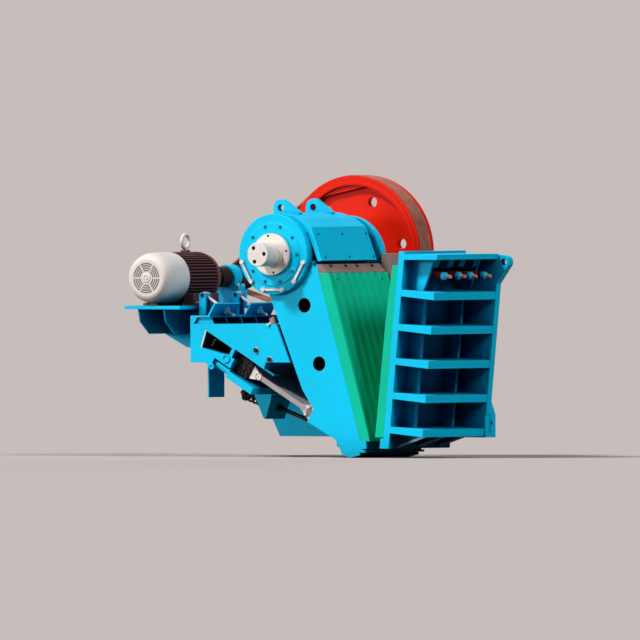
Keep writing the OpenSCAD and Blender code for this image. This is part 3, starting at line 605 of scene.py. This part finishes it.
class CRUSHER_OT_hood_bolts(bpy.types.Operator):
    """Two rows of bolts on the pitman's hood"""

    bl_idname = "crusher.hood_bolts"
    bl_label = "Hood Bolts"

    def execute(self, context):
        bm = bmesh.new()
        # The upper and lower edges of the hood's plate
        top, low = Vector((0.984, 0, 0.668)) * BARREL_R, Vector((1.3, 0, -0.15)) * BARREL_R
        out = Vector((top.z - low.z, 0, low.x - top.x)).normalized()
        for share in (0.22, 0.90):
            for y in (-0.545, 0.0, 0.545):
                place = SHAFT + top.lerp(low, share) + Vector((0, y, 0))
                bolt(bm, place, out, 0.016, 0.3, washer=False)
        new_piece("hood_bolts", bm, "swing_jaw", "Bolt Paint", 35)
        return {"FINISHED"}


class CRUSHER_OT_toe_bolts(bpy.types.Operator):
    """Bolts that hold the moving jaw die's lower end, under the pitman's toe"""

    bl_idname = "crusher.toe_bolts"
    bl_label = "Toe Bolts"

    def execute(self, context):
        bm = bmesh.new()
        # The two ends of the toe's sloping underside
        start, end = Vector((0.846, 0, -2.251)), Vector((0.918, 0, -2.360))
        out = Vector((end.z - start.z, 0, -(end.x - start.x))).normalized()
        for y in (-0.6, -0.2, 0.2, 0.6):
            bolt(bm, SHAFT + start.lerp(end, 0.55) + Vector((0, y, 0)), out, 0.042, 0.1)
        new_piece("toe_bolts", bm, "swing_jaw", "Black Steel", 35)
        return {"FINISHED"}


class CRUSHER_OT_tension_spring(bpy.types.Operator):
    """The long coil spring on the tension rod, in place of the CAD one and fixed on the frame"""

    bl_idname = "crusher.tension_spring"
    bl_label = "Tension Spring"

    def execute(self, context):
        turns = context.scene.crusher_sizes.spring_turns
        along = Vector((math.cos(ROD_SLOPE), 0, -math.sin(ROD_SLOPE)))
        seat = at(*ROD_EYE) - along * SPRING_SEAT
        bm = bmesh.new()
        coil(bm, seat, -along, SPRING_RADIUS, SPRING_WIRE, turns, SPRING_LENGTH)
        spring = new_piece("rod_spring", bm, "frame", "Black Steel", 60)
        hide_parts("tension_spring")
        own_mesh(spring)
        return {"FINISHED"}


class CRUSHER_OT_draw_springs(bpy.types.Operator):
    """Coil springs, caps and threaded ends on the draw bolts of the fixed jaw die"""

    bl_idname = "crusher.draw_springs"
    bl_label = "Draw Springs"

    def execute(self, context):
        out = Vector((math.cos(FRONT_LEAN), 0, -math.sin(FRONT_LEAN)))
        wall = Vector((FRONT_WALL_X + DRAW_BOLT_Z * math.tan(FRONT_LEAN), 0, DRAW_BOLT_Z))
        springs, ends, caps = bmesh.new(), bmesh.new(), bmesh.new()
        # Where the coils, the ring, the cap and the thread start, counted out from the wall
        coil_foot, ring_foot, cap_foot, thread_foot = 0.010, 0.388, 0.420, 0.477
        coil_radius, coil_wire, coil_turns = 0.038, 0.0078, 13
        bolt_radius, bolt_end = 0.022, 0.069
        seat = [(0.028, 0), (0.045, 0), (0.046, 0.002), (0.046, 0.008), (0.045, 0.010), (0.028, 0.010)]
        ring = [(0.027, 0), (0.0475, 0), (0.049, 0.003), (0.049, 0.029), (0.047, 0.032), (0.027, 0.032)]
        cap = [(0, 0), (0.0475, 0), (0.0480, 0.004), (0.0480, 0.040), (0.043, 0.052), (0.033, 0.058),
               (0, 0.058)]
        for y in DRAW_BOLT_Y:
            root = SHAFT + wall + Vector((0, y, 0))
            coil(springs, root + out * coil_foot, out, coil_radius, coil_wire, coil_turns,
                 ring_foot - coil_foot, 24, 8)
            lathe(springs, seat, root, out, 32)
            lathe(springs, ring, root + out * ring_foot, out, 32)
            lathe(caps, cap, root + out * cap_foot, out, 40)
            threaded(ends, root + out * thread_foot, out, bolt_radius, bolt_end)
        piece = new_piece("draw_bolt_coils", springs, "frame", "Spring Paint", 60)
        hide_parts("draw_bolt_springs")
        piece = new_piece("draw_bolt_ends", ends, "frame", "Bolt End Steel", 35)
        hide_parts("die_draw_bolts")
        new_piece("draw_bolt_caps", caps, "frame", "Machine Paint", 35)
        return {"FINISHED"}


class CRUSHER_OT_openings(bpy.types.Operator):
    """Painted shade: black linings in the pitman's body holes and in the rear frame's pocket; painted
    highlight: pale strips on the pocket's edge and inside it
    """

    bl_idname = "crusher.openings"
    bl_label = "Openings"

    def execute(self, context):
        # Painted shade: black cups in the pitman's two body holes, from both mouths.
        bm = bmesh.new()
        outer, inner, deep, wall = 0.0895, 0.0865, 0.30, 0.003
        cup = [(outer, 0), (outer, deep), (0, deep), (0, deep - wall), (inner, deep - wall), (inner, 0),
               (outer, 0)]
        mouth = 0.672
        for x, z in ((0.411, -0.622), (0.623, -1.333)):
            lathe(bm, cup, at(x, -mouth, z), FAR, 48)
            lathe(bm, cup, at(x, mouth, z), NEAR, 48)
        new_piece("pitman_hole_shade_linings", bm, "swing_jaw", "Black Steel", 35)
        corners = ((-0.885, 0.148), (-0.441, 0.148), (-0.437, 0.047), (-0.840, -0.069))
        pocket = [on_toggle(u, w, 0) for u, w in corners]
        # Painted shade: a black skin inside the rear frame's pocket.
        bm = bmesh.new()
        lining(bm, pocket, -0.600, 0.698)
        new_piece("rear_pocket_shade_lining", bm, "frame", "Black Steel")
        # Painted highlight: a pale strip on the near face along the pocket's edge, and a narrow one inside
        # the pocket.
        bm = bmesh.new()
        inward = on_toggle(0.018, 0, 0) - on_toggle(0, 0, 0)
        prism(bm, [pocket[3], pocket[0], pocket[0] + inward, pocket[3] + inward], -0.7005, -0.693)
        highlight_stripe = ((-0.78, -0.015), (-0.78, 0.085), (-0.77, 0.085), (-0.77, -0.015))
        prism(bm, [on_toggle(u, w, 0) for u, w in highlight_stripe], -0.585, -0.560)
        new_piece("rear_pocket_highlight", bm, "frame", "Machined Steel")
        return {"FINISHED"}


class CRUSHER_OT_toggle_details(bpy.types.Operator):
    """Bolts, caps and end plates of the toggle beam, its guides and the two seats"""

    bl_idname = "crusher.toggle_details"
    bl_label = "Toggle Details"

    def execute(self, context):
        guide_bolts = ((-0.129, 0.305), (0.097, 0.305))
        washer = [(0.010, 0), (0.035, 0), (0.036, 0.002), (0.035, 0.005), (0.010, 0.005)]
        bm = bmesh.new()
        for u, w in guide_bolts:
            lathe(bm, washer, on_toggle(u, w, -FRAME_SIDE), NEAR, 32)
        new_piece("guide_washers", bm, "frame", "Machined Steel", 35)
        bm = bmesh.new()
        for u, w in guide_bolts:
            bolt(bm, on_toggle(u, w, -0.704), NEAR, 0.035, 0.2, washer=False)
        beam_end = -0.590
        cap = [(0, 0), (0.036, 0), (0.037, 0.006), (0.030, 0.018), (0.018, 0.018), (0.015, 0.010), (0, 0.010)]
        for u in (-0.232, -0.160):
            for w in (-0.078, 0.0, 0.078):
                lathe(bm, cap, on_toggle(u, w, beam_end), NEAR, 24)
        new_piece("toggle_beam_caps", bm, "frame", "Black Steel", 35)
        toggle_end, seat_end, plate_face = 0.570, 0.580, 0.587
        for side, sign, way in (("near", -1, NEAR), ("far", 1, FAR)):
            bm = bmesh.new()
            half = ((0.056, 0.060), (0.120, 0.087), (0.185, 0.087))
            corners = [(u, -w) for u, w in half] + list(reversed(half))
            outline = [on_toggle(TOGGLE_LEN + u, w, 0) for u, w in corners]
            prism(bm, outline, seat_end * sign, plate_face * sign)
            new_piece(side + "_seat_plate", bm, "swing_jaw", "Manganese Steel", bevel=0.002)
            bm = bmesh.new()
            for u, w in ((0.078, 0.050), (0.150, 0.066), (0.078, -0.050), (0.150, -0.066)):
                bolt(bm, on_toggle(TOGGLE_LEN + u, w, plate_face * sign), way, 0.020, u * 9, washer=False)
            new_piece(side + "_seat_bolts", bm, "swing_jaw", "Machined Steel", 35)
            bm = bmesh.new()
            lathe(bm, [(0, 0), (0.040, 0), (0.041, 0.003), (0.038, 0.008), (0.012, 0.008), (0.011, 0.002),
                       (0, 0.002)], on_toggle(0, 0, toggle_end * sign), way, 36)
            new_piece(side + "_toggle_cap", bm, "toggle", "Machined Steel", 35)
        bm = bmesh.new()
        small = [(0, 0), (0.036, 0), (0.038, 0.004), (0.036, 0.014), (0.016, 0.014), (0.014, 0.004),
                 (0, 0.004)]
        large = [(0, 0), (0.052, 0), (0.054, 0.004), (0.051, 0.016), (0.036, 0.016), (0.034, 0.006),
                 (0, 0.006)]
        lathe(bm, small, on_toggle(-0.583, -0.190, -FRAME_SIDE), NEAR, 32)
        lathe(bm, large, on_toggle(-0.451, 0.0, -FRAME_SIDE), NEAR, 40)
        new_piece("cylinder_eyes", bm, "frame", "Machine Paint", 35)
        return {"FINISHED"}


class CRUSHER_OT_jaw_bolts(bpy.types.Operator):
    """Bolts in the notches of the moving jaw's wedge, and black discs as painted shade at the bottoms of the
    die's two lifting holes
    """

    bl_idname = "crusher.jaw_bolts"
    bl_label = "Jaw Bolts"

    def execute(self, context):
        bm = bmesh.new()
        for y in (-0.467, -0.127, 0.127, 0.467):
            bolt(bm, at(0.650, y, -0.158), UP, 0.035, y * 3, washer=False)
        out = Vector((math.cos(MOVING_LEAN), 0, math.sin(MOVING_LEAN)))
        # Painted shade: black discs at the bottoms of the die's two lifting holes.
        radius, thick = 0.0166, 0.004
        for y in (-0.504, 0.504):
            shade_bottom = at(0.762, y, -0.311) + out * 0.014
            lathe(bm, [(0, 0), (radius, 0), (radius, thick), (0, thick)], shade_bottom, out, 24)
        new_piece("wedge_bolts_and_hole_shade", bm, "swing_jaw", "Black Steel", 35)
        return {"FINISHED"}


class CRUSHER_OT_drive_details(bpy.types.Operator):
    """Motor feet and their bolts, bearing and coupling bolts, pulley screws, and the fan's grille and hub"""

    bl_idname = "crusher.drive_details"
    bl_label = "Drive Details"

    def execute(self, context):
        bracket_top = -0.338
        foot_start, foot_bolt, foot_end, foot_half = 0.322, 0.362, 0.392, 0.055
        feet, bolts = bmesh.new(), bmesh.new()
        for side in (-1, 1):
            corners = ((foot_start, 0), (foot_end, 0), (foot_end, 0.026), (foot_start, 0.040))
            foot = [MOTOR + Vector((x * side, 0, bracket_top + z)) for x, z in corners]
            for y in (-0.295, 0.205):
                prism(feet, foot, y - foot_half, y + foot_half)
                bolt(bolts, MOTOR + Vector((side * foot_bolt, y, bracket_top + 0.030)), UP, 0.030, y)
            for y in (0.925, 1.037):
                bolt(bolts, MOTOR + Vector((side * 0.168, y, -0.105)), UP, 0.026, y)
        new_piece("motor_feet", feet, "frame", "Dark Cast Iron", bevel=0.003)
        new_piece("motor_foot_bolts", bolts, "frame", "Machined Steel", 35)
        bm = bmesh.new()
        coupling_circle, coupling_face = 0.110, 0.690
        for k in range(6):
            place = polar(MOTOR, coupling_circle, 60 * k + 15, coupling_face)
            bolt(bm, place, NEAR, 0.014, k, washer=False)
        pulley_circle, pulley_face = 0.085, 1.374
        for k in range(3):
            bolt(bm, polar(MOTOR, pulley_circle, 120 * k, pulley_face), FAR, 0.018, k, washer=False)
        new_piece("drive_line_screws", bm, "drive_line", "Black Steel", 35)
        bm = bmesh.new()
        wire = ((-0.004, 0.004), (-0.003, 0), (0.003, 0), (0.004, 0.004), (-0.004, 0.004))
        for radius in (0.093, 0.121, 0.149, 0.177):
            lathe(bm, [(radius + off, rise) for off, rise in wire], MOTOR + NEAR * 0.888, NEAR, 72)
        new_piece("fan_grille", bm, "frame", "Wire Steel", 35)
        bm = bmesh.new()
        hub = [(0, 0), (0.056, 0), (0.058, 0.004), (0.050, 0.009), (0.034, 0.009), (0.032, 0.004),
               (0.022, 0.004), (0.019, 0.010), (0, 0.010)]
        lathe(bm, hub, MOTOR + NEAR * 0.894, NEAR, 48)
        new_piece("fan_hub", bm, "frame", "Cream Paint", 35)
        return {"FINISHED"}


class CRUSHER_OT_clamp_details(bpy.types.Operator):
    """Dark ends on the clamp pins, and the grease block with its nipple on the rear frame"""

    bl_idname = "crusher.clamp_details"
    bl_label = "Clamp Details"

    def execute(self, context):
        bm = bmesh.new()
        pin_end = [(0, 0), (0.0235, 0), (0.0235, 0.003), (0.019, 0.005), (0, 0.005)]
        pin_half = 0.075
        for middle in (at(-1.207, -0.375, -0.508), at(-1.207, 0.375, -0.508)):
            for way in (NEAR, FAR):
                lathe(bm, pin_end, middle + way * pin_half, way, 24)
        new_piece("clamp_pin_ends", bm, "frame", "Black Steel", 35)
        bm = bmesh.new()
        block = ((-0.075, -0.853), (-0.005, -0.853), (-0.030, -0.760), (-0.085, -0.785))
        prism(bm, [at(x, 0, z) for x, z in block], -0.695, -0.640)
        new_piece("grease_block", bm, "frame", "Manganese Steel", bevel=0.004)
        bm = bmesh.new()
        threaded(bm, at(-0.062, -0.690, -0.838), Vector((-0.55, -0.62, -0.56)), 0.014, 0.060)
        new_piece("grease_nipple", bm, "frame", "Machined Steel", 35)
        return {"FINISHED"}


class CRUSHER_OT_back_bolts(bpy.types.Operator):
    """Bolts of the far main bearing, and the plate that holds the flywheel on the shaft's far end"""

    bl_idname = "crusher.back_bolts"
    bl_label = "Back Bolts"

    def execute(self, context):
        bm = bmesh.new()
        bearing_circle, bearing_face = 0.388, 0.845
        for k in range(12):
            bolt(bm, polar(SHAFT, bearing_circle, 30 * k + 15, bearing_face), FAR, 0.030, k)
        new_piece("main_bearing_bolts", bm, "frame", "Black Steel", 35)
        bm = bmesh.new()
        shaft_end, thick = 1.476, 0.024
        plate = [(0, 0), (0.205, 0), (0.209, 0.004), (0.209, 0.018), (0.203, thick), (0.060, thick),
                 (0.056, 0.030), (0, 0.030)]
        lathe(bm, plate, SHAFT + FAR * shaft_end, FAR, 72)
        for k in range(3):
            bolt(bm, polar(SHAFT, 0.096, 120 * k, shaft_end + thick), FAR, 0.030, k)
        new_piece("flywheel_end_plate", bm, "rotor", "Machined Steel", 35)
        return {"FINISHED"}


class CRUSHER_OT_frame_welds(bpy.types.Operator):
    """Fillet welds of the front ribs and of the foot flange, and pale bars of painted highlight on the front
    foot's gussets
    """

    bl_idname = "crusher.frame_welds"
    bl_label = "Frame Welds"

    def execute(self, context):
        leg = context.scene.crusher_sizes.weld_leg
        lean = math.tan(FRONT_LEAN)
        bm = bmesh.new()
        for i in range(RIBS):
            drop = RIB_PITCH * (i - 1)
            top, low = FIRST_RIB if i == 0 else (SECOND_RIB[0] - drop, SECOND_RIB[1] - drop)
            for z, side in ((top, 1), (low, -1)):
                ends = [at(FRONT_WALL_X + z * lean, y, z) for y in (-FRAME_SIDE, FRAME_SIDE)]
                weld(bm, *ends, (1, 0, 0), (0, 0, side), leg, 7 * i + side)
        new_piece("front_rib_welds", bm, "frame", "Machine Paint", 50)
        bm = bmesh.new()
        ends = [at(x, FLANGE_Y, FLANGE_TOP) for x in (FLANGE_REAR, FLANGE_FRONT)]
        weld(bm, *ends, (0, 1, 0), UP, leg, 91)
        for i in range(RIBS):
            for dx, side in ((0.0, -1), (GUSSET_T, 1)):
                foot = at(FLANGE_REAR + i * GUSSET_STEP + dx, FLANGE_Y, FLANGE_TOP)
                weld(bm, foot, foot + UP * GUSSET_TALL, (0, 1, 0), (side, 0, 0), leg, i)
        new_piece("foot_flange_welds", bm, "frame", "Machine Paint", 50)
        bm = bmesh.new()
        # The two ends of a gusset's lower edge, and the painted highlight bar on its near face
        low, high, tall = at(1.640, 0, -2.352), at(2.050, 0, -2.222), UP * 0.030
        for y in (-0.46, 0.0, 0.46):
            prism(bm, [low, high, high + tall, low + tall], y - 0.018, y - 0.0102)
        new_piece("foot_gusset_highlight_bars", bm, "frame", "Edge Highlight Paint")
        return {"FINISHED"}


class CRUSHER_OT_stage(bpy.types.Operator):
    """Floor, lights, sky and the camera at the photograph's angle"""

    bl_idname = "crusher.stage"
    bl_label = "Stage"

    def execute(self, context):
        scene = context.scene
        scene.view_settings.view_transform = "Standard"
        backdrop = srgb(199, 189, 186)
        bm = bmesh.new()
        bmesh.ops.create_grid(bm, x_segments=2, y_segments=2, size=FLOOR_HALF)
        mesh = bpy.data.meshes.new("studio_floor")
        bm.to_mesh(mesh)
        bm.free()
        floor = bpy.data.objects.new("studio_floor", mesh)
        scene.collection.objects.link(floor)
        floor.location.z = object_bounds()[0][2] - 0.002
        # The floor's tone is the backdrop's divided by the light that falls on it, so both show the same
        g = Graph(bpy.data.materials.new("Studio Floor"))
        suns = sum(-way[2] / math.hypot(*way) * strength for way, strength, _ in LAMPS.values()) / math.pi
        lit = [c / (suns + sky) for c, sky in zip(backdrop, AMBIENT)]
        tone = g.mix(g.shown_rays(), shade(backdrop, 0.12), lit)
        plain = g.node("ShaderNodeBsdfDiffuse", {}, {"Color": tone})
        g.node("ShaderNodeOutputMaterial", {}, {"Surface": plain})
        floor.data.materials.append(g.owner)
        floor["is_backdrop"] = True
        scene.world = bpy.data.worlds.new("Studio")
        g = Graph(scene.world)
        ambient, seen = [g.node("ShaderNodeBackground", {}, {"Color": (*tone, 1.0), "Strength": 1.0})
                         for tone in (AMBIENT, backdrop)]
        sky = g.node("ShaderNodeMixShader", {}, {0: g.shown_rays(), 1: ambient, 2: seen})
        g.node("ShaderNodeOutputWorld", {}, {"Surface": sky})
        for name, (direction, strength, angle) in LAMPS.items():
            lamp = bpy.data.lights.new(name, "SUN")
            lamp.energy = strength
            lamp.angle = math.radians(angle)
            holder = bpy.data.objects.new(name, lamp)
            holder.rotation_euler = Vector(direction).to_track_quat("-Z", "Y").to_euler()
            scene.collection.objects.link(holder)
        azimuth, elevation = math.radians(VIEW_AZIMUTH), math.radians(VIEW_ELEVATION)
        right = Vector((math.cos(azimuth), math.sin(azimuth), 0))
        target = SHAFT + right * VIEW_CENTRE[0] + UP * VIEW_CENTRE[1]
        away = Vector((math.sin(azimuth) * math.cos(elevation), -math.cos(azimuth) * math.cos(elevation),
                       math.sin(elevation)))
        camera_data = bpy.data.cameras.new("camera")
        camera_data.type = "ORTHO"
        camera_data.ortho_scale = VIEW_WIDTH
        camera_data.clip_end = 200
        camera = bpy.data.objects.new("camera", camera_data)
        camera.location = target + away * CAMERA_DISTANCE
        camera.rotation_euler = away.to_track_quat("Z", "Y").to_euler()
        scene.collection.objects.link(camera)
        scene.camera = camera
        return {"FINISHED"}


class CRUSHER_PT_panel(bpy.types.Panel):
    """Sizes, colours and the steps that dress the crusher"""

    bl_idname = "CRUSHER_PT_panel"
    bl_label = "Jaw Crusher"
    bl_space_type = "VIEW_3D"
    bl_region_type = "UI"
    bl_category = "Crusher"

    def draw(self, context):
        for group in (context.scene.crusher_colours, context.scene.crusher_sizes):
            for name in group.__annotations__:
                self.layout.prop(group, name)
        for operator in STEPS:
            self.layout.operator(operator.bl_idname)


STEPS = (
    CRUSHER_OT_finishes,
    CRUSHER_OT_cover_bolts,
    CRUSHER_OT_shaft_screws,
    CRUSHER_OT_hood_bolts,
    CRUSHER_OT_toe_bolts,
    CRUSHER_OT_tension_spring,
    CRUSHER_OT_draw_springs,
    CRUSHER_OT_openings,
    CRUSHER_OT_toggle_details,
    CRUSHER_OT_jaw_bolts,
    CRUSHER_OT_drive_details,
    CRUSHER_OT_clamp_details,
    CRUSHER_OT_back_bolts,
    CRUSHER_OT_frame_welds,
    CRUSHER_OT_stage,
)
GROUPS = (CrusherColours, CrusherSizes)


def register():
    for kind in (*GROUPS, *STEPS, CRUSHER_PT_panel):
        bpy.utils.register_class(kind)
    bpy.types.Scene.crusher_colours = bpy.props.PointerProperty(type=CrusherColours)
    bpy.types.Scene.crusher_sizes = bpy.props.PointerProperty(type=CrusherSizes)


def unregister():
    del bpy.types.Scene.crusher_sizes
    del bpy.types.Scene.crusher_colours
    for kind in reversed((*GROUPS, *STEPS, CRUSHER_PT_panel)):
        bpy.utils.unregister_class(kind)


def main():
    """Dresses the crusher."""
    register()
    for step in STEPS:
        group, name = step.bl_idname.split(".")
        getattr(getattr(bpy.ops, group), name)()


if __name__ == "__main__":
    main()
